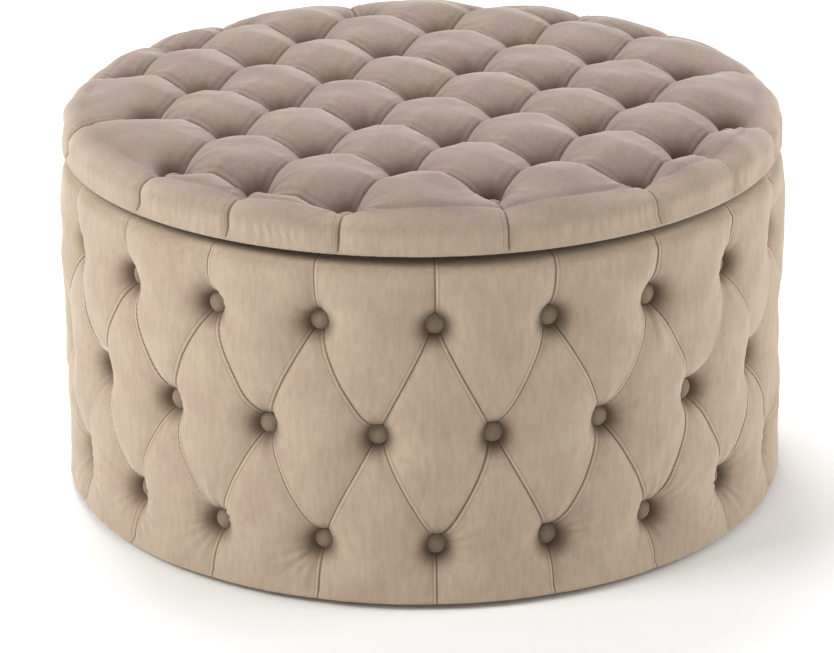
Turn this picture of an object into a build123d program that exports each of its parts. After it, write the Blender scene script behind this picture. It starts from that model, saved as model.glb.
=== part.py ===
"""Round storage ottoman: a padded drum with a deep-buttoned lid that lifts off.

The drum is a plywood base board and a plywood top ring, joined by upright posts and wrapped in a bent
fibreboard wall. Foam and a buttoned velvet cover go round the wall. The lid is a plywood disc with
thick buttoned foam, and a ring under it drops into the drum's mouth and keeps the lid central.

Units are millimetres. +Z is up, and the origin is on the floor at the drum's axis. Angles are measured
round +Z from the front, which is -Y, towards +X.
"""

from build123d import *
from math import asin, ceil, cos, degrees, floor, hypot, radians, sin
import os

# Overall sizes
DRUM_RADIUS = 400.0       # to the crest of the side padding
DRUM_HEIGHT = 384.0       # floor to the rim that the lid rests on
LID_SETBACK = 7.0         # from the drum's crest in to the lid's edge
LID_THICKNESS = 62.7      # underside of the lid to the crest of its padding

# Sheet materials, thicknesses
CLOTH = 2.0               # velvet with its backing
LINING = 1.0              # non-woven black lining
BASE_BOARD = 15.0
TOP_RING = 18.0
LID_BOARD = 15.0
WALL_PANEL = 5.0
FLOOR_LINING = 1.5

# Padding
SIDE_FOAM = 40.0
RIM_PAD = 6.0
LID_EDGE_FOAM = 12.0      # foam outside the edge of the lid board
SIDE_EDGE_TOP = 16.0      # edge radii of the cover
SIDE_EDGE_BOTTOM = 12.0
LID_EDGE_TOP = 36.0
LID_EDGE_BOTTOM = 4.0

# Drum frame
POST_DEPTH = 22.0         # radial
POST_WIDTH = 32.0
POST_COUNT = 10
PANEL_JOINT = 1.5         # gap where the bent wall panel's ends meet, at the back
HEM_TURN_IN = 38.0        # cover turned down inside the rim
HEM_LAP = 13.0            # cover lapped under the edge of the base board
LID_HEM_CLEAR = 3.0       # from the outermost washers to the lid hem
LID_LINING_MARGIN = 13.0

# Side buttons
BUTTONS_AROUND = 20
BUTTON_ROWS = 3
TOP_ROW_MARGIN = 76.0     # from the rim to the top row
BOTTOM_ROW_MARGIN = 56.0  # from the cover's underside to the bottom row
FRONT_BUTTON_ANGLE = 1.8
SIDE_BUTTON_DEPTH = 31.0  # crest of the padding to the back of a button

# Lid buttons, in rows on a lattice with one button on the axis
LID_ROW_PITCH = 80.0
LID_BUTTON_PITCH = 150.0
LID_LATTICE_ANGLE = 12.8
LID_BUTTON_MARGIN = 39.0  # from the lid's edge to the outermost buttons
LID_BUTTON_BED = 5.0      # squeezed foam between a lid button and the board

# Buttons and what holds them
BUTTON_RADIUS = 11.0
BUTTON_EDGE = 3.0
BUTTON_HEIGHT = 8.0
PIT_FLOOR_RADIUS = 13.0
SIDE_PIT_MOUTH = 36.0
LID_PIT_MOUTH = 40.0
TIE_RADIUS = 1.0
TIE_HOLE_RADIUS = 1.6
WASHER_RADIUS = 8.0
WASHER_THICK = 1.0
KNOT_RADIUS = 3.0
KNOT_THICK = 0.8

# Locating ring under the lid
LOCATOR_DEPTH = 18.0
LOCATOR_WIDTH = 40.0
LOCATOR_CLEARANCE = 4.0
LOCATOR_SCREWS = 8

# Glides
GLIDE_COUNT = 6
GLIDE_RADIUS = 18.0
GLIDE_FOOT_RADIUS = 15.0
GLIDE_HEIGHT = 8.0
GLIDE_INSET = 62.0        # from the wall panel's outside to the glides' centres

# Fasteners
SCREW_RADIUS = 2.0
SCREW_HEAD_RADIUS = 4.0
SCREW_HEAD_HEIGHT = 2.4
SCREW_PLAY = 0.4
POST_SCREW_BITE = 30.0
LOCATOR_SCREW_BITE = 10.0
GLIDE_SCREW_BITE = 9.0
BRAD_RADIUS = 0.8
BRAD_HEAD_RADIUS = 2.0
BRAD_HEAD = 1.0
BRAD_LENGTH = 20.0
BRADS_PER_RING = 20
STAPLE_CROWN = 10.0
STAPLE_WIRE = 0.7
STAPLE_LEG = 8.0
STAPLES_AROUND = 40
STAPLE_INSET = 6.0        # from the inner edge of a hem

# Clearances
FIT_GAP = 0.3             # between layers, and between the lid and the rim
WASHER_GAP = 0.1          # a flat washer on the curved wall

# Levels, from the floor up
DUST_COVER_Z = GLIDE_HEIGHT
HEM_Z = DUST_COVER_Z + LINING
BASE_Z = HEM_Z + CLOTH
BASE_TOP_Z = BASE_Z + BASE_BOARD
FLOOR_TOP_Z = BASE_TOP_Z + FLOOR_LINING
RING_TOP_Z = DRUM_HEIGHT - CLOTH - RIM_PAD
RING_Z = RING_TOP_Z - TOP_RING
HEM_END_Z = DRUM_HEIGHT - HEM_TURN_IN
LID_Z = DRUM_HEIGHT + FIT_GAP
SEAT_HEIGHT = LID_Z + LID_THICKNESS
LID_HEM_Z = LID_Z + LINING
LID_BOARD_Z = LID_HEM_Z + CLOTH
LID_BOARD_TOP_Z = LID_BOARD_Z + LID_BOARD
LID_BUTTON_Z = LID_BOARD_TOP_Z + LID_BUTTON_BED + CLOTH
LOCATOR_Z = LID_Z - LOCATOR_DEPTH

# Radii, from the outside in
PANEL_RADIUS = DRUM_RADIUS - CLOTH - SIDE_FOAM
FRAME_RADIUS = PANEL_RADIUS - WALL_PANEL
POST_INNER = FRAME_RADIUS - POST_DEPTH
MOUTH_RADIUS = POST_INNER - CLOTH
HEM_RADIUS = FRAME_RADIUS - HEM_LAP
SIDE_BUTTON_RADIUS = DRUM_RADIUS - SIDE_BUTTON_DEPTH
LID_RADIUS = DRUM_RADIUS - LID_SETBACK
WASHER_FACE_RADIUS = FRAME_RADIUS - WASHER_GAP
LID_BOARD_RADIUS = LID_RADIUS - CLOTH - LID_EDGE_FOAM
LID_HEM_RADIUS = LID_RADIUS - LID_BUTTON_MARGIN + WASHER_RADIUS + LID_HEM_CLEAR
LID_LINING_RADIUS = LID_RADIUS - LID_LINING_MARGIN
LOCATOR_RADIUS = MOUTH_RADIUS - LOCATOR_CLEARANCE
GLIDE_CENTRE_RADIUS = PANEL_RADIUS - GLIDE_INSET

BASE = (Align.CENTER, Align.CENTER, Align.MIN)


# ---------------------------------------------------------------- shapes
def disc(radius, low, high):
    return Pos(0, 0, low) * Cylinder(radius, high - low, align=BASE)


def ring(inner, outer, low, high):
    return disc(outer, low, high) - disc(inner, low, high)


def padded_disc(radius, low, high, edge_bottom, edge_top):
    """A disc with its two outer edges rounded."""
    body = disc(radius, low, high)
    rims = body.edges().filter_by(GeomType.CIRCLE).sort_by(Axis.Z)
    body = fillet(rims[-1], edge_top)
    rims = body.edges().filter_by(GeomType.CIRCLE).sort_by(Axis.Z)
    return fillet(rims[0], edge_bottom)


def outward(angle, height):
    """The plane at an angle round the drum and a height, whose Z points away from the axis."""
    a = radians(angle)
    return Plane(origin=(0, 0, height), x_dir=(cos(a), sin(a), 0), z_dir=(sin(a), -cos(a), 0))


def upward(x, y):
    return Plane(origin=(x, y, 0))


def rod(radius, start, end):
    """A round bar along a plane's Z."""
    return Pos(0, 0, start) * Cylinder(radius, end - start, align=BASE)


def evenly(count, first=0.0):
    return [first + i * 360.0 / count for i in range(count)]


def turned(points):
    """The solid that a closed outline of (radius, height) points makes round Z."""
    return revolve(Plane.XZ * make_face(Polyline(*points, close=True)), Axis.Z)


# ---------------------------------------------------------------- where the buttons are
def side_rows():
    """Heights of the side's button rows, from the bottom."""
    low = HEM_Z + BOTTOM_ROW_MARGIN
    step = (DRUM_HEIGHT - TOP_ROW_MARGIN - low) / (BUTTON_ROWS - 1)
    return [low + k * step for k in range(BUTTON_ROWS)]


def row_planes(row):
    """Planes of one row's buttons. Every other row is set half a step round."""
    shift = (row % 2) * 180.0 / BUTTONS_AROUND
    height = side_rows()[row]
    return [outward(a, height) for a in evenly(BUTTONS_AROUND, FRONT_BUTTON_ANGLE + shift)]


def side_planes():
    return [p for row in range(BUTTON_ROWS) for p in row_planes(row)]


def lid_planes():
    """Planes of the lid's buttons: the lattice points that lie inside the margin."""
    reach = LID_RADIUS - LID_BUTTON_MARGIN
    turn = radians(LID_LATTICE_ANGLE)
    planes = []
    rows = floor(reach / LID_ROW_PITCH)
    columns = ceil(reach / LID_BUTTON_PITCH)
    for j in range(-rows, rows + 1):
        for i in range(-columns - 1, columns + 1):
            across = (i + (j % 2) / 2) * LID_BUTTON_PITCH
            along = j * LID_ROW_PITCH
            if hypot(across, along) <= reach:
                x = across * cos(turn) - along * sin(turn)
                y = across * sin(turn) + along * cos(turn)
                planes.append(upward(x, y))
    return planes


# ---------------------------------------------------------------- buttons and ties
def button():
    """A covered button: a flat back, an upright edge and a domed face."""
    rise = BUTTON_HEIGHT - BUTTON_EDGE
    dome = (BUTTON_RADIUS**2 + rise**2) / (2 * rise)
    return rod(BUTTON_RADIUS, 0, BUTTON_HEIGHT) & Pos(0, 0, BUTTON_HEIGHT - dome) * Sphere(dome)


def washer(face):
    """A washer whose outer face is at a given place along the plane's Z."""
    return rod(WASHER_RADIUS, face - WASHER_THICK, face) - rod(TIE_HOLE_RADIUS, face - WASHER_THICK, face)


def tie(face, seat):
    """Twine from a button's back at seat to a flat knot behind the washer whose outer face is at face."""
    back = face - WASHER_THICK
    return rod(TIE_RADIUS, back, seat) + rod(KNOT_RADIUS, back - KNOT_THICK, back)


def pit(seat, crest, mouth, skin):
    """What a button's pull takes out of the padding, grown by skin on every side."""
    slope = (mouth - PIT_FLOOR_RADIUS) / (crest - seat)
    grow = skin * hypot(1, slope)
    low = seat - skin
    beyond = crest + CLOTH
    low_radius = PIT_FLOOR_RADIUS + grow - slope * skin
    return Pos(0, 0, low) * Cone(low_radius, low_radius + slope * (beyond - low), beyond - low, align=BASE)


def side_pits(skin):
    return [p * pit(SIDE_BUTTON_RADIUS, DRUM_RADIUS, SIDE_PIT_MOUTH, skin) for p in side_planes()]


def lid_pits(skin):
    return [p * pit(LID_BUTTON_Z, SEAT_HEIGHT, LID_PIT_MOUTH, skin) for p in lid_planes()]


def tie_holes(planes, start, end):
    return [p * rod(TIE_HOLE_RADIUS, start, end) for p in planes]


# ---------------------------------------------------------------- fasteners
def screw(length):
    """A countersunk screw whose head is at the plane's origin and which runs along its Z."""
    return turned([
        (0, 0), (SCREW_HEAD_RADIUS, 0), (SCREW_RADIUS, SCREW_HEAD_HEIGHT),
        (SCREW_RADIUS, length - SCREW_RADIUS), (0, length),
    ])


def screw_hole(length):
    """The clearance hole and countersink that a screw sits in, open below its head."""
    neck = SCREW_RADIUS + SCREW_PLAY
    head = SCREW_HEAD_RADIUS + SCREW_PLAY
    return turned([
        (0, -CLOTH), (head, -CLOTH), (head, SCREW_PLAY), (neck, SCREW_HEAD_HEIGHT + SCREW_PLAY),
        (neck, length), (0, length),
    ])


def brad():
    """A headed nail whose head is at the plane's origin and which runs back along its Z."""
    return rod(BRAD_HEAD_RADIUS, -BRAD_HEAD, 0) + rod(BRAD_RADIUS, -BRAD_LENGTH, -BRAD_HEAD)


def staple():
    """A wire staple: a crown across X, and two legs up Z."""
    crown = Box(STAPLE_CROWN, STAPLE_WIRE, STAPLE_WIRE, align=BASE)
    shift = (STAPLE_CROWN - STAPLE_WIRE) / 2
    leg = Box(STAPLE_WIRE, STAPLE_WIRE, STAPLE_LEG, align=BASE)
    return crown + Pos(shift, 0, 0) * leg + Pos(-shift, 0, 0) * leg


def staples(radius, height):
    """Staples round a circle, each turned across the radius."""
    first = 180.0 / STAPLES_AROUND
    return [Rot(0, 0, a) * Pos(0, -radius, height) * staple() for a in evenly(STAPLES_AROUND, first)]


# ---------------------------------------------------------------- drum frame
def post_angles():
    """Posts stand midway between two columns of buttons, so that they clear the ties."""
    return evenly(POST_COUNT, FRONT_BUTTON_ANGLE + 90.0 / BUTTONS_AROUND)


def post_screw_places():
    middle = POST_INNER + POST_DEPTH / 2
    return [(middle * sin(radians(a)), -middle * cos(radians(a))) for a in post_angles()]


def glide_places():
    angles = evenly(GLIDE_COUNT, 180.0 / GLIDE_COUNT)
    return [(GLIDE_CENTRE_RADIUS * sin(radians(a)), -GLIDE_CENTRE_RADIUS * cos(radians(a))) for a in angles]


def post_screw_up():
    return screw(BASE_BOARD + POST_SCREW_BITE)


def post_screw_down():
    return Rot(180, 0, 0) * screw(TOP_RING + POST_SCREW_BITE)


def base_board():
    body = disc(FRAME_RADIUS, BASE_Z, BASE_TOP_Z)
    return body - [Pos(x, y, BASE_Z) * screw_hole(BASE_BOARD + 1) for x, y in post_screw_places()]


def top_ring():
    body = ring(POST_INNER, FRAME_RADIUS, RING_Z, RING_TOP_Z)
    hole = Rot(180, 0, 0) * screw_hole(TOP_RING + 1)
    return body - [Pos(x, y, RING_TOP_Z) * hole for x, y in post_screw_places()]


def wall_post(angle):
    """One upright batten. Its outer face is curved to the wall panel, and its inner face to the lining."""
    height = RING_Z - BASE_TOP_Z
    batten = Pos(0, -FRAME_RADIUS, BASE_TOP_Z) * Box(POST_WIDTH, 3 * POST_DEPTH, height, align=BASE)
    return (Rot(0, 0, angle) * batten) & ring(POST_INNER, FRAME_RADIUS, BASE_TOP_Z, RING_Z)


def wall_panel():
    body = ring(FRAME_RADIUS, PANEL_RADIUS, BASE_Z, RING_TOP_Z)
    joint = Pos(0, PANEL_RADIUS, BASE_Z) * Box(PANEL_JOINT, 4 * WALL_PANEL, RING_TOP_Z - BASE_Z, align=BASE)
    return body - joint - tie_holes(side_planes(), FRAME_RADIUS - CLOTH, PANEL_RADIUS + CLOTH)


def panel_brads():
    """Two rings of brads, into the edges of the base board and of the top ring."""
    first = FRONT_BUTTON_ANGLE + 270.0 / BUTTONS_AROUND
    heights = (BASE_Z + BASE_BOARD / 2, RING_Z + TOP_RING / 2)
    return [
        outward(a, h) * Pos(0, 0, PANEL_RADIUS) * brad()
        for h in heights for a in evenly(BRADS_PER_RING, first)
    ]


def glide():
    """A low plastic foot with a countersunk hole up its middle."""
    foot = turned([
        (0, 0), (GLIDE_FOOT_RADIUS, 0), (GLIDE_RADIUS, GLIDE_RADIUS - GLIDE_FOOT_RADIUS),
        (GLIDE_RADIUS, GLIDE_HEIGHT), (0, GLIDE_HEIGHT),
    ])
    return foot - Pos(0, 0, glide_head()) * screw_hole(GLIDE_HEIGHT)


def glide_head():
    """How far up inside a glide its screw's head sits."""
    return GLIDE_HEIGHT / 4


def glide_screw():
    length = GLIDE_HEIGHT - glide_head() + LINING + CLOTH + GLIDE_SCREW_BITE
    return Pos(0, 0, glide_head()) * screw(length)


def dust_cover():
    body = disc(FRAME_RADIUS, DUST_COVER_Z, HEM_Z)
    return body - [Pos(x, y, 0) * rod(SCREW_RADIUS + SCREW_PLAY, DUST_COVER_Z, HEM_Z) for x, y in glide_places()]


# ---------------------------------------------------------------- drum padding, cover and lining
def side_body(skin):
    """The padded wall's outer shape, drawn in by skin, with the pits that the buttons pull."""
    solid = padded_disc(
        DRUM_RADIUS - skin, HEM_Z + skin, DRUM_HEIGHT - skin,
        SIDE_EDGE_BOTTOM - skin, SIDE_EDGE_TOP - skin,
    )
    return solid - side_pits(skin)


def side_foam():
    skin = CLOTH + FIT_GAP
    core = disc(PANEL_RADIUS + FIT_GAP, 0, SEAT_HEIGHT)
    holes = tie_holes(side_planes(), PANEL_RADIUS - CLOTH, SIDE_BUTTON_RADIUS)
    return side_body(skin) - core - holes


def rim_pad():
    """Thin foam on the top ring and the wall panel, under the cover."""
    return ring(POST_INNER, PANEL_RADIUS, RING_TOP_Z, RING_TOP_Z + RIM_PAD)


def side_cover():
    """One velvet sleeve: over the foam, over the rim and down inside, and under the base board."""
    inside = disc(MOUTH_RADIUS, 0, SEAT_HEIGHT)
    below_hem = disc(POST_INNER, 0, HEM_END_Z)
    under = disc(HEM_RADIUS, 0, BASE_Z)
    filling = side_body(CLOTH) - disc(POST_INNER, 0, SEAT_HEIGHT)
    holes = tie_holes(side_planes(), SIDE_BUTTON_RADIUS - 2 * CLOTH, SIDE_BUTTON_RADIUS + CLOTH)
    return side_body(0) - filling - inside - below_hem - under - holes


def wall_lining():
    return ring(MOUTH_RADIUS, POST_INNER, FLOOR_TOP_Z, HEM_END_Z)


def floor_lining():
    return disc(POST_INNER, BASE_TOP_Z, FLOOR_TOP_Z)


# ---------------------------------------------------------------- lid
def lid_body(skin):
    """The lid's outer shape, drawn in by skin, with the pits that the buttons pull."""
    solid = padded_disc(
        LID_RADIUS - skin, LID_HEM_Z + skin, SEAT_HEIGHT - skin,
        max(LID_EDGE_BOTTOM - skin, FIT_GAP), LID_EDGE_TOP - skin,
    )
    return solid - lid_pits(skin)


def locator_screw_places():
    middle = LOCATOR_RADIUS - LOCATOR_WIDTH / 2
    angles = evenly(LOCATOR_SCREWS, 180.0 / LOCATOR_SCREWS)
    return [(middle * sin(radians(a)), -middle * cos(radians(a))) for a in angles]


def lid_board():
    body = disc(LID_BOARD_RADIUS, LID_BOARD_Z, LID_BOARD_TOP_Z)
    return body - tie_holes(lid_planes(), LID_BOARD_Z, LID_BOARD_TOP_Z)


def lid_foam():
    board = disc(LID_BOARD_RADIUS + FIT_GAP, 0, LID_BOARD_TOP_Z + FIT_GAP)
    return lid_body(CLOTH + FIT_GAP) - board - tie_holes(lid_planes(), LID_BOARD_TOP_Z, LID_BUTTON_Z)


def lid_cover():
    """Velvet over the lid's foam and turned under the board."""
    under = disc(LID_HEM_RADIUS, 0, LID_BOARD_Z)
    holes = tie_holes(lid_planes(), LID_BUTTON_Z - 2 * CLOTH, LID_BUTTON_Z)
    return lid_body(0) - lid_body(CLOTH) - under - holes


def lid_lining():
    body = disc(LID_LINING_RADIUS, LID_Z, LID_HEM_Z)
    clear = SCREW_RADIUS + SCREW_PLAY
    return body - [Pos(x, y, 0) * rod(clear, LID_Z, LID_HEM_Z) for x, y in locator_screw_places()]


def locator_ring():
    body = ring(LOCATOR_RADIUS - LOCATOR_WIDTH, LOCATOR_RADIUS, LOCATOR_Z, LID_Z)
    return body - [Pos(x, y, LOCATOR_Z) * screw_hole(LOCATOR_DEPTH + 1) for x, y in locator_screw_places()]


def locator_screws():
    length = LOCATOR_DEPTH + LINING + CLOTH + LOCATOR_SCREW_BITE
    return [Pos(x, y, LOCATOR_Z) * screw(length) for x, y in locator_screw_places()]


# ---------------------------------------------------------------- all the pieces
def drum_pieces():
    pieces = {
        "base_board": base_board(),
        "top_ring": top_ring(),
        "wall_panel": wall_panel(),
        "panel_brads": panel_brads(),
        "post_screws_bottom": [Pos(x, y, BASE_Z) * post_screw_up() for x, y in post_screw_places()],
        "post_screws_top": [Pos(x, y, RING_TOP_Z) * post_screw_down() for x, y in post_screw_places()],
        "side_foam": side_foam(),
        "rim_pad": rim_pad(),
        "side_cover": side_cover(),
        "side_ties": [p * tie(WASHER_FACE_RADIUS, SIDE_BUTTON_RADIUS) for p in side_planes()],
        "side_washers": [p * washer(WASHER_FACE_RADIUS) for p in side_planes()],
        "wall_lining": wall_lining(),
        "floor_lining": floor_lining(),
        "dust_cover": dust_cover(),
        "base_hem_staples": staples(HEM_RADIUS + STAPLE_INSET, HEM_Z),
        "glide_screws": [Pos(x, y, 0) * glide_screw() for x, y in glide_places()],
    }
    for row, name in enumerate(("bottom", "middle", "top")[:BUTTON_ROWS]):
        pieces["side_buttons_" + name] = [p * Pos(0, 0, SIDE_BUTTON_RADIUS) * button() for p in row_planes(row)]
    for k, angle in enumerate(post_angles(), 1):
        pieces[f"wall_post_{k:02d}"] = wall_post(angle)
    for k, (x, y) in enumerate(glide_places(), 1):
        pieces[f"glide_{k}"] = Pos(x, y, 0) * glide()
    return pieces


def lid_pieces():
    return {
        "lid_board": lid_board(),
        "lid_foam": lid_foam(),
        "lid_cover": lid_cover(),
        "lid_buttons": [p * Pos(0, 0, LID_BUTTON_Z) * button() for p in lid_planes()],
        "lid_ties": [p * tie(LID_BOARD_Z, LID_BUTTON_Z) for p in lid_planes()],
        "lid_washers": [p * washer(LID_BOARD_Z) for p in lid_planes()],
        "lid_lining": lid_lining(),
        "locator_ring": locator_ring(),
        "locator_screws": locator_screws(),
        "lid_hem_staples": staples(LID_HEM_RADIUS + STAPLE_INSET, LID_HEM_Z),
    }


def write(name, shape):
    solids = shape if isinstance(shape, list) else [shape]
    export_step(Compound([s for piece in solids for s in piece.solids()]), f"parts/{name}.step")


if __name__ == "__main__":
    os.makedirs("parts", exist_ok=True)
    for name, shape in {**drum_pieces(), **lid_pieces()}.items():
        write(name, shape)
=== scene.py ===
"""The velvet, pleats, buttons and finishes of a round buttoned storage ottoman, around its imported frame."""

import math

import bpy
import numpy as np
from mathutils import Matrix, Vector


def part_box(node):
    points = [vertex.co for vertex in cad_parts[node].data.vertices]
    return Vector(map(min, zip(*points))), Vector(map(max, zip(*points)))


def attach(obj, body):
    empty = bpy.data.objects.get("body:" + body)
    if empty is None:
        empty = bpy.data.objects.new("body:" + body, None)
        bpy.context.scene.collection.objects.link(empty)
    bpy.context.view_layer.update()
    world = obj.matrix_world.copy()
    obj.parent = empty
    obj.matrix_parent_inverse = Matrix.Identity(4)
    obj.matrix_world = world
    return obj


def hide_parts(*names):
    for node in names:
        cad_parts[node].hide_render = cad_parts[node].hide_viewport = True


bl_info = {
    "name": "Buttoned Velvet Ottoman",
    "version": (1, 0, 0),
    "blender": (4, 5, 0),
    "location": "View3D > Sidebar > Ottoman",
    "description": "Covers a round storage ottoman's frame with deep-buttoned velvet",
    "category": "Add Mesh",
}

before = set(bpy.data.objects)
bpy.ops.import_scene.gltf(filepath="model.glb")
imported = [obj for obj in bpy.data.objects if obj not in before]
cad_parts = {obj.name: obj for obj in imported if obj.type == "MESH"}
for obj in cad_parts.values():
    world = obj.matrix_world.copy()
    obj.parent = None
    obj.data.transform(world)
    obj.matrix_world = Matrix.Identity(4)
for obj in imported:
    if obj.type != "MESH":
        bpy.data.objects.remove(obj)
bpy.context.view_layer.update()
SIDE_LOW, SIDE_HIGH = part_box("side_cover")
LID_LOW, LID_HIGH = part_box("lid_cover")

MM = 0.001

FAR = 1.0                   # stands for no pleat or button near, in metres
SHADED_MM = 30              # the velvet's shade reads nothing further than this from a pleat

# The drum's velvet, beyond what its settings hold
RIM_ROUND = 24 * MM         # outer edge of the rim
BASE_ROUND = 6 * MM
BASE_SAG = 3 * MM           # the cloth's lowest edge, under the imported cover
BASE_LAP = 60 * MM          # cloth turned in under the base
MOUTH_ROUND = 7 * MM        # inner edge of the rim
MOUTH_CENTRE = 64.2 * MM    # centre of that round, from the drum's crest
MOUTH_WALL = MOUTH_CENTRE + MOUTH_ROUND     # cloth inside the mouth, from the drum's crest
MOUTH_HEM = 38 * MM         # how far it hangs inside the mouth
RIM_LEAN = 9 * MM           # the wall leans in at the rim
RIM_LEAN_HEIGHT = 75 * MM
SIDE_BUTTON_EDGE = 9 * MM
PLEAT_RUN_OUT = 0.13        # length of a pleat that runs from a button over the edge

# The lid's velvet, likewise
HEM_ROUND = 4 * MM
HEM_LAP = 28 * MM           # cloth turned in under the lid
LID_BUTTON_EDGE = 8 * MM
EDGE_FALL = 16 * MM         # the padding's crest falls this far towards the lid's edge
EDGE_FALL_START = 95 * MM   # where it begins, from the edge
EDGE_FALL_WIDTH = 75 * MM

# Area lights: name, place, size and watts
LAMPS = (
    ("key_light", (-2.4, -1.2, 2.1), 1.3, 66),
    ("fill_light", (2.8, -0.3, 1.5), 1.6, 44),
    ("top_light", (-0.4, 1.6, 3.0), 1.6, 88),
)
LAMP_AIM = (0, 0, 0.3)
WORLD_STRENGTH = 0.46
FLOOR_SIZE = 40             # metres
CAMERA_PLACE = (0, -3.6225, 1.5884)
CAMERA_LENS_MM = 150.3
CAMERA_SENSOR_MM = 36.0
CAMERA_PITCH, CAMERA_YAW, CAMERA_ROLL = 21.55, -0.11, -0.47     # degrees


# ---------------------------------------------------------------- settings
class DrumSettings(bpy.types.PropertyGroup):
    """Sizes of the drum's side cover."""

    buttons: bpy.props.IntProperty(name="Buttons Around", description="Buttons in one row", default=20)
    first_angle: bpy.props.FloatProperty(
        name="First Button", description="Angle of a bottom button from the front",
        default=math.radians(1.8), subtype="ANGLE")
    crease: bpy.props.FloatProperty(
        name="Pleat Depth", description="How far a pleat lies below the padding's crest",
        default=6.0 * MM, unit="LENGTH")
    dimple: bpy.props.FloatProperty(
        name="Dimple Depth", description="How far a button pulls the cloth in",
        default=31.5 * MM, unit="LENGTH")
    dimple_reach: bpy.props.FloatProperty(
        name="Dimple Reach", description="Radius at which a dimple has mostly died away",
        default=24.0 * MM, unit="LENGTH")
    grid: bpy.props.FloatProperty(
        name="Grid", description="Spacing of the cloth's points", default=2.5 * MM, unit="LENGTH")


class LidSettings(bpy.types.PropertyGroup):
    """Sizes of the lid's deep-buttoned cover."""

    row_pitch: bpy.props.FloatProperty(
        name="Row Pitch", description="From one row of buttons to the next", default=80.0 * MM, unit="LENGTH")
    button_pitch: bpy.props.FloatProperty(
        name="Button Pitch", description="From button to button in a row", default=150.0 * MM, unit="LENGTH")
    turn: bpy.props.FloatProperty(
        name="Lattice Angle", description="How far the rows are turned from left to right",
        default=math.radians(12.8), subtype="ANGLE")
    margin: bpy.props.FloatProperty(
        name="Button Margin", description="From the lid's edge to the outermost buttons",
        default=39.0 * MM, unit="LENGTH")
    shoulder: bpy.props.FloatProperty(
        name="Shoulder", description="Radius of the lid's padded upper edge",
        default=36.0 * MM, unit="LENGTH")
    crease: bpy.props.FloatProperty(
        name="Pleat Depth", description="How far a pleat lies below the pillows",
        default=19.0 * MM, unit="LENGTH")
    pit: bpy.props.FloatProperty(
        name="Pit Depth", description="How far a button pulls the cloth down",
        default=39.0 * MM, unit="LENGTH")
    pit_reach: bpy.props.FloatProperty(
        name="Pit Reach", description="Radius at which a pit has mostly died away",
        default=23.0 * MM, unit="LENGTH")
    grid: bpy.props.FloatProperty(
        name="Grid", description="Spacing of the cloth's points", default=2.5 * MM, unit="LENGTH")


class ColourSettings(bpy.types.PropertyGroup):
    """Colours of the finishes, as sRGB hex values."""

    side: bpy.props.StringProperty(name="Side Velvet", description="The drum's velvet", default="#B2A08C")
    lid: bpy.props.StringProperty(name="Lid Velvet", description="The lid's velvet", default="#84746A")
    button: bpy.props.StringProperty(
        name="Button Velvet", description="Velvet over the buttons", default="#8A7A68")
    # Painted shade: the colour laid over the creases, fold edges and pits of the velvet.
    fold: bpy.props.StringProperty(
        name="Pleat Shade", description="Velvet deep in a pleat", default="#5A4636")


def colour(text):
    """A linear RGBA colour from an sRGB hex value."""
    parts = [int(text[k:k + 2], 16) / 255 for k in (1, 3, 5)]
    return [c / 12.92 if c <= 0.04045 else ((c + 0.055) / 1.055) ** 2.4 for c in parts] + [1.0]


# ---------------------------------------------------------------- where the buttons are
def drum_rows():
    """Heights of the three button rows, from the bottom."""
    heights = []
    for name in ("side_buttons_bottom", "side_buttons_middle", "side_buttons_top"):
        low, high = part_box(name)
        heights.append((low[2] + high[2]) / 2)
    return heights


def drum_buttons(settings):
    """Angle and height of every side button, row by row. The middle row is half a step round."""
    step = 2 * math.pi / settings.buttons
    return [
        [(settings.first_angle + (k + 0.5 * (row % 2)) * step, height) for k in range(settings.buttons)]
        for row, height in enumerate(drum_rows())
    ]


def lid_buttons(settings):
    """Lattice places (column, row) of the lid's buttons, each with its point on the lid."""
    reach = LID_HIGH[0] - settings.margin
    rows = int(reach / settings.row_pitch)
    columns = int(reach / settings.button_pitch) + 2
    places = {}
    for j in range(-rows, rows + 1):
        for i in range(-columns, columns):
            column = i + (j % 2) / 2
            across = column * settings.button_pitch
            along = j * settings.row_pitch
            if math.hypot(across, along) <= reach:
                c, s = math.cos(settings.turn), math.sin(settings.turn)
                places[(column, j)] = np.array((across * c - along * s, across * s + along * c))
    return places


# ---------------------------------------------------------------- shapes of padded cloth
def soft_noise(points, scale, seed):
    """Smooth seeded noise between about -1 and 1, one value for each row of points."""
    waves, largest = 7, 3.2
    draw = np.random.default_rng(seed)
    total = np.zeros(len(points))
    for _ in range(waves):
        wave = draw.normal(size=points.shape[1])
        wave = wave / np.linalg.norm(wave) * (2 * math.pi / scale) * draw.uniform(0.6, 1.5)
        total += np.sin(points @ wave + draw.uniform(0, 2 * math.pi))
    return total / largest


def ramp(values, width):
    """Rises from 0 to 1 as the values go from 0 to the width."""
    return np.clip(values / width, 0, 1)


def raised_fold(pleats, height, place, width):
    """The height of a fold of cloth that lies beside each pleat, on one side of it."""
    return height * np.exp(-((pleats.signed - place) / width) ** 2)


def along_segment(points, start, end):
    """For each point: signed distance to the line, place along it from 0 to 1, distance to the segment."""
    span = end - start
    length = math.hypot(*span)
    unit = span / length
    offset = points - start
    place = offset @ unit
    side = offset[:, 0] * unit[1] - offset[:, 1] * unit[0]
    over = np.maximum(np.maximum(-place, place - length), 0)
    return side, np.clip(place / length, 0, 1), np.hypot(side, over)


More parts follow.
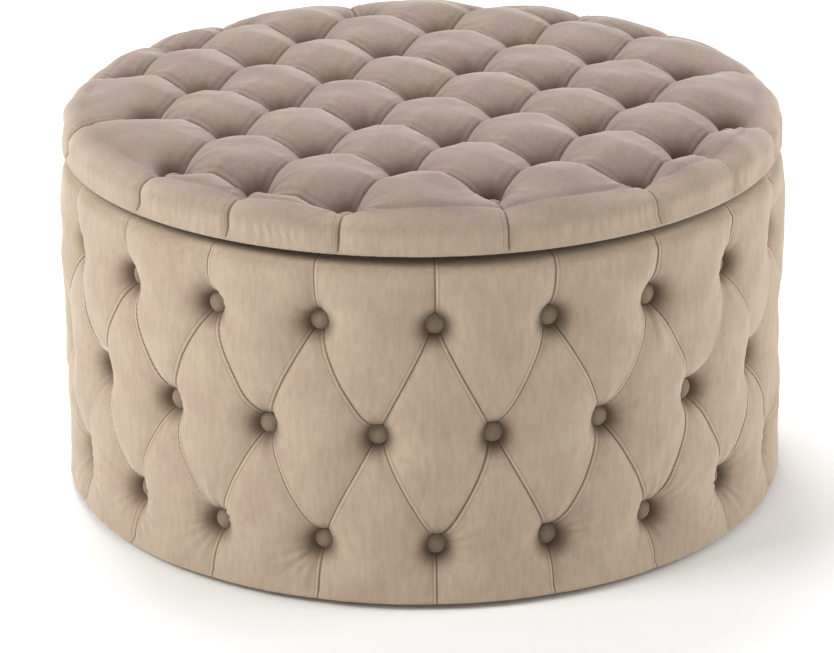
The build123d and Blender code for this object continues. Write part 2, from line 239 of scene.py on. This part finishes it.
class Pleats:
    """The pleats and pits of a buttoned cover, measured at its points laid flat."""

    def __init__(self, points, period=None):
        self.points = points
        self.period = period
        self.near = np.full(len(points), FAR)       # distance to the nearest pleat
        self.signed = np.full(len(points), FAR)     # the same, signed by the side of the pleat
        self.ends = np.zeros(len(points))           # 1 where both of its ends are buttons
        self.button = np.full(len(points), FAR)     # distance to the nearest button

    def wrapped(self, middle):
        """The points, moved round by whole turns to lie near the middle."""
        if self.period is None:
            return self.points
        near = self.points.copy()
        near[:, 0] -= self.period * np.round((near[:, 0] - middle[0]) / self.period)
        return near

    def add(self, start, end, both_ends=True, bow=0.0, reach=0.16):
        """Adds a pleat, bowed sideways in its middle. Points beyond reach of its middle are left out."""
        start, end = np.array(start, float), np.array(end, float)
        middle = (start + end) / 2
        points = self.wrapped(middle)
        pick = np.flatnonzero(np.hypot(*(points - middle).T) < reach)
        side, place, distance = along_segment(points[pick], start, end)
        bowed = side - bow * 4 * place * (1 - place)
        distance = np.hypot(bowed, np.sqrt(np.maximum(distance**2 - side**2, 0)))
        closer = distance < self.near[pick]
        pick = pick[closer]
        self.near[pick] = distance[closer]
        self.signed[pick] = bowed[closer]
        self.ends[pick] = 1.0 if both_ends else 0.0

    def shading(self, shown, pull):
        """Values that the velvet reads for its painted shade and highlight: distance across the nearest
        pleat, and depth in a button's pull.
        """
        return {
            "across_mm": np.clip(self.signed / MM, -SHADED_MM, SHADED_MM),
            "pleat_mm": np.clip(self.near / MM, 0, SHADED_MM) + SHADED_MM * (1 - shown),
            "pull": np.clip(pull * shown, 0, 1),
        }

    def add_button(self, centre):
        """Counts a button in the distance to the nearest one."""
        centre = np.array(centre, float)
        points = self.wrapped(centre)
        distance = np.hypot(*(points - centre).T)
        self.button = np.minimum(self.button, distance)


def along_profile(profile, grid):
    """Evenly spaced points along a profile of (radius, height) points, as arrays: each point's place along
    it, its radius, its height and the profile's direction there."""
    profile = np.array(profile)
    steps = np.hypot(*np.diff(profile, axis=0).T)
    run = np.concatenate([[0], np.cumsum(steps)])
    rows = int(round(run[-1] / grid))
    places = np.linspace(0, run[-1], rows + 1)
    radius = np.interp(places, run, profile[:, 0])
    height = np.interp(places, run, profile[:, 1])
    slope = np.gradient(np.stack([radius, height], 1), places, axis=0)
    slope /= np.linalg.norm(slope, axis=1)[:, None]
    return places, radius, height, slope


def radial_wrinkles(points, pleats_of, centres, count, reach, seed):
    """Fine folds that fan out from each button and fade with distance, about 1 on a fold's crest and
    -1 between folds."""
    draw = np.random.default_rng(seed)
    total = np.zeros(len(points))
    for centre in centres:
        centre = np.array(centre, float)
        near = pleats_of.wrapped(centre) - centre
        distance = np.hypot(*near.T)
        pick = np.flatnonzero(distance < 3 * reach)
        turn = np.arctan2(near[pick, 1], near[pick, 0])
        waves = np.zeros(len(pick))
        for _ in range(3):
            folds = draw.integers(count - 3, count + 4)
            fan = np.cos(folds * turn + draw.uniform(0, 2 * math.pi))
            waves += fan * (0.5 + 0.5 * np.cos(turn - draw.uniform(0, 2 * math.pi)))
        fade = np.exp(-distance[pick] / reach) * np.clip(distance[pick] / SIDE_BUTTON_EDGE - 1, 0, 1)
        total[pick] += waves * fade / 1.5
    return total


def disc_grid(radius, grid):
    """Points and quads of a flat round cloth: a square mesh whose edge points are drawn onto the circle."""
    count = int(radius / grid)
    steps = np.arange(-count, count + 1) * (radius / count)
    x, y = np.meshgrid(steps, steps)
    points = np.stack([x.ravel(), y.ravel()], 1)
    side = 2 * count + 1
    corner = (np.arange(side - 1)[:, None] * side + np.arange(side - 1)).ravel()
    faces = np.stack([corner, corner + 1, corner + 1 + side, corner + side], 1)
    reach = np.hypot(*points.T)
    faces = faces[(reach[faces] < radius - 0.3 * radius / count).all(1)]
    uses = np.bincount(faces.ravel(), minlength=len(points))
    rim = (uses > 0) & (uses < 4)
    points[rim] *= (radius / reach[rim])[:, None]
    kept = np.flatnonzero(uses)
    order = np.full(len(points), -1)
    order[kept] = np.arange(len(kept))
    return points[kept], order[faces]


def ring_faces(rows, around):
    """Quads between neighbouring rings of points."""
    first = np.arange(around)
    second = (first + 1) % around
    faces = []
    for k in range(rows - 1):
        low, high = k * around, (k + 1) * around
        faces.append(np.stack([low + first, low + second, high + second, high + first], 1))
    return np.concatenate(faces)


def make_piece(name, points, faces, attributes):
    """A smooth-shaded mesh object whose points carry the attributes that its material reads."""
    mesh = bpy.data.meshes.new(name)
    mesh.from_pydata(points.tolist(), [], faces)
    mesh.validate()
    for key, values in attributes.items():
        layer = mesh.attributes.new(key, "FLOAT", "POINT")
        layer.data.foreach_set("value", values.astype(np.float32))
    mesh.shade_smooth()
    piece = bpy.data.objects.new(name, mesh)
    bpy.context.collection.objects.link(piece)
    return piece


def arc(centre, radius, start, end, count=12):
    """Points of an arc in the profile's plane, its angles in degrees from outwards to up."""
    turn = np.radians(np.linspace(start, end, count))
    return [(centre[0] + radius * math.cos(t), centre[1] + radius * math.sin(t)) for t in turn]


# ---------------------------------------------------------------- materials
def new_material(name):
    """A material with a Principled shader: the material, its node tree and the shader."""
    material = bpy.data.materials.new(name)
    material.use_nodes = True
    tree = material.node_tree
    tree.nodes.clear()
    shader = node(tree, "ShaderNodeBsdfPrincipled")
    node(tree, "ShaderNodeOutputMaterial", i0=shader.outputs[0])
    return material, tree, shader


def node(tree, kind, settings=None, **inputs):
    """Adds a node. Settings are its properties, and inputs are values or other nodes' sockets."""
    made = tree.nodes.new(kind)
    for key, value in (settings or {}).items():
        setattr(made, key, value)
    for key, value in inputs.items():
        socket = made.inputs[int(key[1:])] if key[0] == "i" and key[1:].isdigit() else made.inputs[key]
        if isinstance(value, bpy.types.NodeSocket):
            tree.links.new(value, socket)
        else:
            socket.default_value = value
    return made


def pleated(tree, nap, base, fold, line_mm, fold_mm):
    """The nap's colour with painted shade and a painted highlight: a dark line along each pleat, a faint one
    along its fold's far edge, a lighter crest on the fold between them, and cloth darkened towards the pits.
    """
    across = node(tree, "ShaderNodeAttribute", {"attribute_name": "across_mm"}).outputs["Fac"]
    beside = node(tree, "ShaderNodeAttribute", {"attribute_name": "pleat_mm"}).outputs["Fac"]
    pull = node(tree, "ShaderNodeAttribute", {"attribute_name": "pull"}).outputs["Fac"]
    # Painted shade in each crease: a dark line of the given half width, only on pleats that are shown.
    width = node(tree, "ShaderNodeMath", {"operation": "ABSOLUTE"}, i0=across)
    line = node(tree, "ShaderNodeMapRange", {"interpolation_type": "SMOOTHSTEP"},
                i0=width.outputs[0], i1=0.3, i2=line_mm, i3=1.0, i4=0.0)
    close = node(tree, "ShaderNodeMapRange", i0=beside, i1=2.0, i2=6.0, i3=0.8, i4=0.0)
    crease = node(tree, "ShaderNodeMath", {"operation": "MULTIPLY"}, i0=line.outputs[0], i1=close.outputs[0])
    # Painted shade: the pull round a button darkens the cloth towards the pit.
    deep = node(tree, "ShaderNodeMapRange", {"interpolation_type": "SMOOTHSTEP"},
                i0=pull, i1=0.25, i2=0.9, i4=0.9)
    # Painted shade: the fold's far edge shows as a thin faint dark line. Painted highlight: its crest between
    # the two lines is lightened.
    second = node(tree, "ShaderNodeMath", {"operation": "COMPARE"}, i0=across, i1=fold_mm, i2=0.5)
    second = node(tree, "ShaderNodeMath", {"operation": "MULTIPLY"}, i0=second.outputs[0], i1=0.3)
    highlight_mask = node(tree, "ShaderNodeMath", {"operation": "COMPARE"}, i0=across, i1=fold_mm / 2, i2=0.8)
    highlight_mask = node(tree, "ShaderNodeMath", {"operation": "MULTIPLY"}, i0=highlight_mask.outputs[0], i1=0.35)
    # The painted highlight is the base colour brightened 1.35 times.
    highlight_colour = [min(c * 1.35, 1) for c in base[:3]] + [1]
    # The painted highlight goes on first, then the painted shade of the fold's edge, the crease and the pit.
    layers = ((highlight_mask, highlight_colour), (second, colour(fold)), (crease, colour(fold)), (deep, colour(fold)))
    for factor, shade in layers:
        mix = node(tree, "ShaderNodeMix", {"data_type": "RGBA"}, i0=factor.outputs[0], i6=nap, i7=shade)
        nap = mix.outputs[2]
    return nap


def velvet(name, base, fold=None, sheen=0.75, line_mm=1.2, fold_mm=4.2, band=None):
    """Short-pile polyester velvet, woven and brushed: a soft nap that lightens at grazing angles, with
    cloudy patches where the pile has been stroked another way, and painted shade deep in the pleats and pits,
    with a painted highlight on each fold."""
    material, tree, shader = new_material(name)
    place = node(tree, "ShaderNodeTexCoord").outputs["Object"]
    # Patches as wide as a palm leaves, streaks down the nap, and the pile's tufts. Real tufts are about
    # 0.3 mm apart, too fine to show, so they are drawn at 1.1 mm.
    cloud = node(tree, "ShaderNodeTexNoise", Vector=place, Scale=1 / (55 * MM), Detail=3.0, Roughness=0.6)
    stroke = node(tree, "ShaderNodeMapping", Vector=place, Scale=(1.0, 1.0, 0.22))
    streak = node(tree, "ShaderNodeTexNoise", Vector=stroke.outputs[0], Scale=1 / (5 * MM), Detail=3.0)
    pile = node(tree, "ShaderNodeTexNoise", Vector=place, Scale=1 / (1.1 * MM), Detail=2.0)
    base = colour(base)
    light = [base[0] * 1.04, base[1] * 1.055, base[2] * 1.03, 1]
    dark = [base[0] * 0.96, base[1] * 0.92, base[2] * 0.93, 1]
    clouds = node(tree, "ShaderNodeMapRange", i0=cloud.outputs[0], i1=0.33, i2=0.67)
    streaks = node(tree, "ShaderNodeMapRange", i0=streak.outputs[0], i1=0.3, i2=0.7, i3=0.93, i4=1.06)
    piles = node(tree, "ShaderNodeMapRange", i0=pile.outputs[0], i1=0.3, i2=0.7, i3=0.92, i4=1.07)
    mix = node(tree, "ShaderNodeMix", {"data_type": "RGBA"}, i0=clouds.outputs[0], i6=dark, i7=light)
    nap = mix.outputs[2]
    # Painted light: the lid's edge is blended towards the drum's lighter velvet, where its nap lies another
    # way.
    if band:
        edge = node(tree, "ShaderNodeAttribute", {"attribute_name": "band"}).outputs["Fac"]
        mix = node(tree, "ShaderNodeMix", {"data_type": "RGBA"}, i0=edge, i6=nap, i7=colour(band))
        nap = mix.outputs[2]
    for texture in (streaks, piles):
        product = node(tree, "ShaderNodeVectorMath", {"operation": "MULTIPLY"}, i0=nap, i1=texture.outputs[0])
        nap = product.outputs[0]
    # Given a pleat shade colour, the nap gets its painted shade and highlight.
    shade = pleated(tree, nap, base, fold, line_mm, fold_mm) if fold else nap
    tree.links.new(shade, shader.inputs["Base Color"])
    bump = node(tree, "ShaderNodeBump", Height=pile.outputs[0], Strength=0.22, Distance=0.5 * MM)
    tree.links.new(bump.outputs[0], shader.inputs["Normal"])
    shader.inputs["Roughness"].default_value = 0.9
    shader.inputs["Specular IOR Level"].default_value = 0.18
    shader.inputs["Sheen Weight"].default_value = sheen
    shader.inputs["Sheen Roughness"].default_value = 0.42
    shader.inputs["Sheen Tint"].default_value = [0.45 + 0.95 * c for c in base[:3]] + [1]
    return material


def plain_finish(name, base, grain_mm, contrast, roughness, metallic=0.0, stretch=(1, 1, 1), bump_mm=0.1):
    """A finish whose grain or grit is noise of a real size, stretched along the grain."""
    material, tree, shader = new_material(name)
    place = node(tree, "ShaderNodeTexCoord").outputs["Object"]
    mapped = node(tree, "ShaderNodeMapping", Vector=place, Scale=stretch)
    grain = node(tree, "ShaderNodeTexNoise", Vector=mapped.outputs[0], Scale=1 / (grain_mm * MM), Detail=4.0)
    base = colour(base)
    low = [c * (1 - contrast) for c in base[:3]] + [1]
    high = [min(c * (1 + contrast), 1) for c in base[:3]] + [1]
    spread = node(tree, "ShaderNodeMapRange", i0=grain.outputs[0], i1=0.3, i2=0.7)
    shade = node(tree, "ShaderNodeMix", {"data_type": "RGBA"}, i0=spread.outputs[0], i6=low, i7=high)
    tree.links.new(shade.outputs[2], shader.inputs["Base Color"])
    rough = node(tree, "ShaderNodeMapRange", i0=grain.outputs[0], i3=roughness - 0.06, i4=roughness + 0.06)
    tree.links.new(rough.outputs[0], shader.inputs["Roughness"])
    bump = node(tree, "ShaderNodeBump", Height=grain.outputs[0], Strength=0.4, Distance=bump_mm * MM)
    tree.links.new(bump.outputs[0], shader.inputs["Normal"])
    shader.inputs["Metallic"].default_value = metallic
    return material


def dress(material, *names):
    """Gives CAD nodes a finish."""
    for name in names:
        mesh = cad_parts[name].data
        mesh.materials.clear()
        mesh.materials.append(material)


# ---------------------------------------------------------------- pieces
class OTTOMAN_OT_frame_finishes(bpy.types.Operator):
    """Gives the boards, posts, fasteners, linings and glides their finishes."""

    bl_idname = "ottoman.frame_finishes"
    bl_label = "Frame Finishes"

    def execute(self, context):
        # Birch plywood, sanded: pale, with a long fine grain.
        plywood = plain_finish("sanded_birch_plywood", "#D2B48A", 6, 0.12, 0.6, stretch=(0.08, 1, 1))
        dress(plywood, "base_board", "top_ring", "lid_board", "locator_ring")
        # Tempered hardboard: brown, smooth and slightly waxy.
        dress(plain_finish("tempered_hardboard", "#7A5636", 1.5, 0.12, 0.45), "wall_panel")
        # Planed pine: yellowish, with an upright grain.
        pine = plain_finish("planed_pine", "#D9B47C", 5, 0.16, 0.55, stretch=(1, 1, 0.06))
        dress(pine, *[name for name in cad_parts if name.startswith("wall_post_")])
        # Zinc-plated steel: a bluish grey metal with a soft gloss.
        zinc = plain_finish("zinc_plated_steel", "#B9BCBE", 0.6, 0.06, 0.32, metallic=1.0, bump_mm=0.02)
        dress(zinc, "post_screws_bottom", "post_screws_top", "locator_screws", "glide_screws", "side_washers",
              "lid_washers", "panel_brads", "base_hem_staples", "lid_hem_staples")
        # Spun-bonded polypropylene: black, matt and slightly felted.
        lining = plain_finish("spun_bonded_lining", "#1D1C1B", 0.9, 0.35, 0.9, bump_mm=0.3)
        dress(lining, "wall_lining", "floor_lining", "dust_cover", "lid_lining")
        # Polyether foam: cream, open cells.
        foam = plain_finish("polyether_foam", "#E9E0C4", 1.2, 0.1, 0.95, bump_mm=0.5)
        dress(foam, "rim_pad", "side_foam", "lid_foam")
        # Waxed twine: straw-coloured.
        dress(plain_finish("waxed_twine", "#CDB98F", 0.5, 0.2, 0.6), "side_ties", "lid_ties")
        # Moulded polypropylene: black, with a fine moulded texture.
        plastic = plain_finish("moulded_polypropylene", "#1B1B1C", 0.4, 0.15, 0.5, bump_mm=0.05)
        glides = [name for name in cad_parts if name.startswith("glide_") and name != "glide_screws"]
        dress(plastic, *glides)
        return {"FINISHED"}


class OTTOMAN_OT_side_cover(bpy.types.Operator):
    """Makes the drum's velvet: diamonds of pleats between buttons, rolled over the rim and under the base."""

    bl_idname = "ottoman.side_cover"
    bl_label = "Side Cover"

    def execute(self, context):
        settings = context.scene.ottoman_drum
        radius = SIDE_HIGH[0]
        low, high = SIDE_LOW[2] - BASE_SAG, SIDE_HIGH[2]
        profile = [(radius - BASE_LAP, low)]
        profile += arc((radius - BASE_ROUND, low + BASE_ROUND), BASE_ROUND, -90, 0)
        profile += arc((radius - RIM_ROUND, high - RIM_ROUND), RIM_ROUND, 0, 90)
        profile += arc((radius - MOUTH_CENTRE, high - MOUTH_ROUND), MOUTH_ROUND, 90, 180)
        profile += [(radius - MOUTH_WALL, high - MOUTH_HEM)]
        places, radii, heights, slope = along_profile(profile, settings.grid)
        around = int(round(2 * math.pi * radius / settings.grid / settings.buttons)) * settings.buttons
        angle = np.arange(around) * 2 * math.pi / around
        rows = len(places)

        # The cover laid flat: length round the crest, and height up the wall measured along the cloth.
        base_place = np.interp(low + BASE_ROUND, heights[:rows // 2], places[:rows // 2])
        up = places - base_place + low + BASE_ROUND
        flat = np.stack([np.tile(angle * radius, rows), np.repeat(up, around)], 1)
        pleats = Pleats(flat, 2 * math.pi * radius)
        buttons = drum_buttons(settings)
        draw = np.random.default_rng(11)
        step = 2 * math.pi * radius / settings.buttons
        for row in buttons:
            for turn, height in row:
                pleats.add_button((turn * radius, height))
        for k in range(settings.buttons):
            for a, b in ((0, 1), (2, 1)):
                x, y = buttons[a][k][0] * radius, buttons[a][k][1]
                for way in (-0.5, 0.5):
                    bow = draw.normal(0, 1.6 * MM)
                    pleats.add((x, y), (x + way * step, buttons[b][0][1]), bow=bow)
            for row, run_out in ((2, PLEAT_RUN_OUT), (0, -PLEAT_RUN_OUT)):
                x, y = buttons[row][k][0] * radius, buttons[row][k][1]
                pleats.add((x, y), (x + draw.normal(0, 2 * MM), y + run_out), both_ends=False)

        level, reach = np.repeat(heights, around), np.repeat(radii, around)
        # Pleats get painted shade as far as they run, and the padding's relief fades out at the rim and the
        # base.
        shown = ramp(reach - radius + 50 * MM, 10 * MM)
        wall = ramp(level - low, 8 * MM) * ramp(high - level, 8 * MM)
        wall *= ramp(reach - radius + 30 * MM, 30 * MM)
        past_edge = np.maximum(pleats.button - SIDE_BUTTON_EDGE, 0)
        pull = np.exp(-(past_edge / (settings.dimple_reach - SIDE_BUTTON_EDGE)) ** 0.95)
        # A pleat is shallow midway and deepens towards its buttons. The padding swells away from it.
        valley = settings.crease * (0.55 + 0.9 * np.exp(-pleats.button / (38 * MM)))
        crown = 1 - np.exp(-pleats.near / (9 * MM))
        tuck = raised_fold(pleats, 1.2 * MM, 2.1 * MM, 1.6 * MM)
        lean_in = RIM_LEAN * ramp(level - high + RIM_LEAN_HEIGHT, RIM_LEAN_HEIGHT) ** 2
        lean_in *= ramp(reach - radius + 60 * MM, 30 * MM)
        sink = valley * (1 - crown) + (settings.dimple - settings.crease) * pull - tuck * (1 - pull)
        centres = [(turn * radius, height) for row in buttons for turn, height in row]
        # Slow waves in the padding, fine folds round every button, and longer ones round the lowest row.
        ripple = soft_noise(flat, 60 * MM, 3) * 0.8 * MM
        ripple -= radial_wrinkles(flat, pleats, centres, 13, 20 * MM, 4) * 1.8 * MM
        ripple -= radial_wrinkles(flat, pleats, centres[:settings.buttons], 18, 26 * MM, 6) * 2.6 * MM
        depth = (sink + ripple + 1.0 * MM) * wall + lean_in
        normal_r = np.repeat(slope[:, 1], around)
        normal_z = np.repeat(-slope[:, 0], around)
        r = np.repeat(radii, around) - depth * normal_r
        z = np.repeat(heights, around) - depth * normal_z
        turn = np.tile(angle, rows)
        points = np.stack([r * np.sin(turn), -r * np.cos(turn), z], 1)
        piece = make_piece("side_velvet", points, ring_faces(rows, around), pleats.shading(shown, pull))
        colours = context.scene.ottoman_colours
        piece.data.materials.append(velvet("brushed_taupe_velvet", colours.side, colours.fold))
        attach(piece, "drum")
        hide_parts("side_cover", "side_foam", "rim_pad")
        return {"FINISHED"}


class OTTOMAN_OT_lid_cover(bpy.types.Operator):
    """Makes the lid's velvet: pillows in diamonds between pits, and pleats over the shoulder to the hem."""

    bl_idname = "ottoman.lid_cover"
    bl_label = "Lid Cover"

    def execute(self, context):
        settings = context.scene.ottoman_lid
        radius = LID_HIGH[0]
        low, high = LID_LOW[2], LID_HIGH[2]
        shoulder = settings.shoulder
        profile = [(0, high), (radius - shoulder, high)]
        profile += arc((radius - shoulder, high - shoulder), shoulder, 90, 0)
        profile += arc((radius - HEM_ROUND, low + HEM_ROUND), HEM_ROUND, 0, -90, 6)
        profile += [(radius - HEM_LAP, low)]
        places, radii, heights, slope = along_profile(profile, settings.grid)
        flat, faces = disc_grid(places[-1], settings.grid)
        reach = np.hypot(*flat.T)
        out = flat / np.maximum(reach, 1e-6)[:, None]
        radii, heights, slope_r, slope_z = (
            np.interp(reach, places, values) for values in (radii, heights, slope[:, 0], slope[:, 1])
        )
        pleats = Pleats(flat)
        buttons = lid_buttons(settings)
        draw = np.random.default_rng(5)
        jitter = {key: point + draw.normal(0, 2.0 * MM, 2) for key, point in buttons.items()}
        for (column, j), point in jitter.items():
            pleats.add_button(point)
            outer = False
            for side in (-0.5, 0.5):
                above = jitter.get((column + side, j + 1))
                bow = -draw.normal(4, 2) * MM
                if above is not None and side > 0:
                    pleats.add(above, point, bow=bow)
                elif above is not None:
                    pleats.add(point, above, bow=bow)
                outer = outer or above is None or jitter.get((column + side, j - 1)) is None
            if outer:
                away = point / math.hypot(*point)
                pleats.add(point, away * (places[-1] + 0.02), both_ends=False, reach=0.2)

        # Relief fades out towards the hem, and pleats get painted shade as far as the turn under the lid.
        top = ramp(heights - low, 12 * MM)
        shown = ramp(places[-1] - 26 * MM - reach, 4 * MM)
        top = np.where(reach > places[-1] - 30 * MM, 0, top)
        past_edge = np.maximum(pleats.button - LID_BUTTON_EDGE, 0)
        pull = np.exp(-past_edge / (settings.pit_reach - 6 * MM))
        # A pleat is shallow midway and deepens towards its pits. One that runs to the edge is shallower.
        arch = 0.36 + np.exp(-pleats.button / (30 * MM))
        valley = settings.crease * np.where(pleats.ends > 0.5, arch, 0.8 * arch)
        crown = 1 - np.exp(-(pleats.near / (12 * MM)) ** 1.05)
        pillow = 3.5 * MM * (1 - ramp(pleats.button, 75 * MM))
        tuck = raised_fold(pleats, 2.2 * MM, 3.4 * MM, 2.0 * MM)
        tuck += raised_fold(pleats, 1.3 * MM, 9 * MM, 2.2 * MM)
        sink = valley * (1 - crown) + (settings.pit - settings.crease) * pull + pillow - tuck * (1 - pull)
        ripple = soft_noise(flat, 70 * MM, 8) * 1.2 * MM
        ripple -= radial_wrinkles(flat, pleats, jitter.values(), 12, 20 * MM, 9) * 1.5 * MM
        # Short gathers over the shoulder, where the cloth is eased round it.
        turn = np.arctan2(flat[:, 0], -flat[:, 1])
        gathers = np.cos(turn * 190 + 3 * soft_noise(flat, 90 * MM, 21))
        gathers *= np.clip(soft_noise(flat, 160 * MM, 22), 0, 1)
        gathers *= np.exp(-((reach - places[-1] + 44 * MM) / (11 * MM)) ** 2) * 0.8 * MM
        fall = EDGE_FALL * ramp(reach - radius + EDGE_FALL_START, EDGE_FALL_WIDTH) ** 1.5
        fall *= np.clip(slope_r, 0, 1)
        depth = (sink + ripple + 1.5 * MM + fall * (1 - pull)) * top + gathers
        r = radii + depth * slope_z
        z = heights - depth * slope_r
        points = np.concatenate([out * r[:, None], z[:, None]], 1)
        shading = pleats.shading(shown, pull)
        shading["band"] = ramp(reach - radius + 12 * MM, 40 * MM)       # the hem, brushed another way; its lighter tone is painted light
        piece = make_piece("lid_velvet", points, faces, shading)
        colours = context.scene.ottoman_colours
        piece.data.materials.append(velvet(
            "brushed_rose_taupe_velvet", colours.lid, colours.fold, 0.65, 1.9, 6.2, colours.side))
        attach(piece, "lid")
        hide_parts("lid_cover", "lid_foam")
        return {"FINISHED"}


class OTTOMAN_OT_buttons(bpy.types.Operator):
    """Gives the covered buttons their velvet."""

    bl_idname = "ottoman.buttons"
    bl_label = "Covered Buttons"

    def execute(self, context):
        colours = context.scene.ottoman_colours
        cloth = velvet("stretched_button_velvet", colours.button, sheen=0.45)
        dress(cloth, "side_buttons_bottom", "side_buttons_middle", "side_buttons_top", "lid_buttons")
        return {"FINISHED"}


class OTTOMAN_OT_stage(bpy.types.Operator):
    """Makes the floor, the soft studio light and the camera."""

    bl_idname = "ottoman.stage"
    bl_label = "Stage"

    def execute(self, context):
        context.scene.view_settings.view_transform = "Standard"
        bpy.ops.object.select_all(action="DESELECT")
        bpy.ops.mesh.primitive_plane_add(size=FLOOR_SIZE)
        floor = context.active_object
        floor.name = "studio_floor"
        paint, _, shader = new_material("white_studio_floor")
        shader.inputs["Base Color"].default_value = (0.94, 0.94, 0.935, 1)
        shader.inputs["Roughness"].default_value = 0.85
        floor.data.materials.append(paint)

        world = bpy.data.worlds.new("studio")
        context.scene.world = world
        world.use_nodes = True
        world.node_tree.nodes["Background"].inputs[0].default_value = (1, 1, 1, 1)
        world.node_tree.nodes["Background"].inputs[1].default_value = WORLD_STRENGTH

        for name, place, size, power in LAMPS:
            lamp = bpy.data.lights.new(name, "AREA")
            lamp.size = size
            lamp.energy = power
            light = bpy.data.objects.new(name, lamp)
            light.location = place
            aim = Vector(LAMP_AIM) - light.location
            light.rotation_euler = aim.to_track_quat("-Z", "Y").to_euler()
            context.collection.objects.link(light)

        lens = bpy.data.cameras.new("studio_camera")
        lens.sensor_width = CAMERA_SENSOR_MM
        lens.lens = CAMERA_LENS_MM
        lens.clip_end = 100
        camera = bpy.data.objects.new("studio_camera", lens)
        pitch, yaw, roll = (math.radians(turn) for turn in (CAMERA_PITCH, CAMERA_YAW, CAMERA_ROLL))
        ahead = Vector((math.sin(yaw) * math.cos(pitch), math.cos(yaw) * math.cos(pitch), -math.sin(pitch)))
        right = ahead.cross(Vector((0, 0, 1))).normalized()
        above = right.cross(ahead)
        level = math.cos(roll) * right + math.sin(roll) * above
        upright = -math.sin(roll) * right + math.cos(roll) * above
        turn = Matrix((level, upright, -ahead)).transposed().to_4x4()
        camera.matrix_world = Matrix.Translation(CAMERA_PLACE) @ turn
        context.collection.objects.link(camera)
        context.scene.camera = camera
        return {"FINISHED"}


class OTTOMAN_PT_panel(bpy.types.Panel):
    """Lists the ottoman's operators and settings in the sidebar."""

    bl_label = "Ottoman"
    bl_idname = "OTTOMAN_PT_panel"
    bl_space_type = "VIEW_3D"
    bl_region_type = "UI"
    bl_category = "Ottoman"

    def draw(self, context):
        for operator in OPERATORS:
            self.layout.operator(operator.bl_idname)
        scene = context.scene
        for settings in (scene.ottoman_drum, scene.ottoman_lid, scene.ottoman_colours):
            box = self.layout.box()
            for name in settings.__annotations__:
                box.prop(settings, name)


OPERATORS = (
    OTTOMAN_OT_frame_finishes, OTTOMAN_OT_side_cover, OTTOMAN_OT_lid_cover, OTTOMAN_OT_buttons,
    OTTOMAN_OT_stage,
)
SETTINGS = (DrumSettings, LidSettings, ColourSettings)


def register():
    for made in (*SETTINGS, *OPERATORS, OTTOMAN_PT_panel):
        bpy.utils.register_class(made)
    bpy.types.Scene.ottoman_drum = bpy.props.PointerProperty(type=DrumSettings)
    bpy.types.Scene.ottoman_lid = bpy.props.PointerProperty(type=LidSettings)
    bpy.types.Scene.ottoman_colours = bpy.props.PointerProperty(type=ColourSettings)


def unregister():
    del bpy.types.Scene.ottoman_colours
    del bpy.types.Scene.ottoman_lid
    del bpy.types.Scene.ottoman_drum
    for made in reversed((*SETTINGS, *OPERATORS, OTTOMAN_PT_panel)):
        bpy.utils.unregister_class(made)


def main():
    register()
    bpy.ops.object.select_all(action="DESELECT")
    bpy.ops.ottoman.frame_finishes()
    bpy.ops.ottoman.side_cover()
    bpy.ops.ottoman.lid_cover()
    bpy.ops.ottoman.buttons()
    bpy.ops.ottoman.stage()


if __name__ == "__main__":
    main()
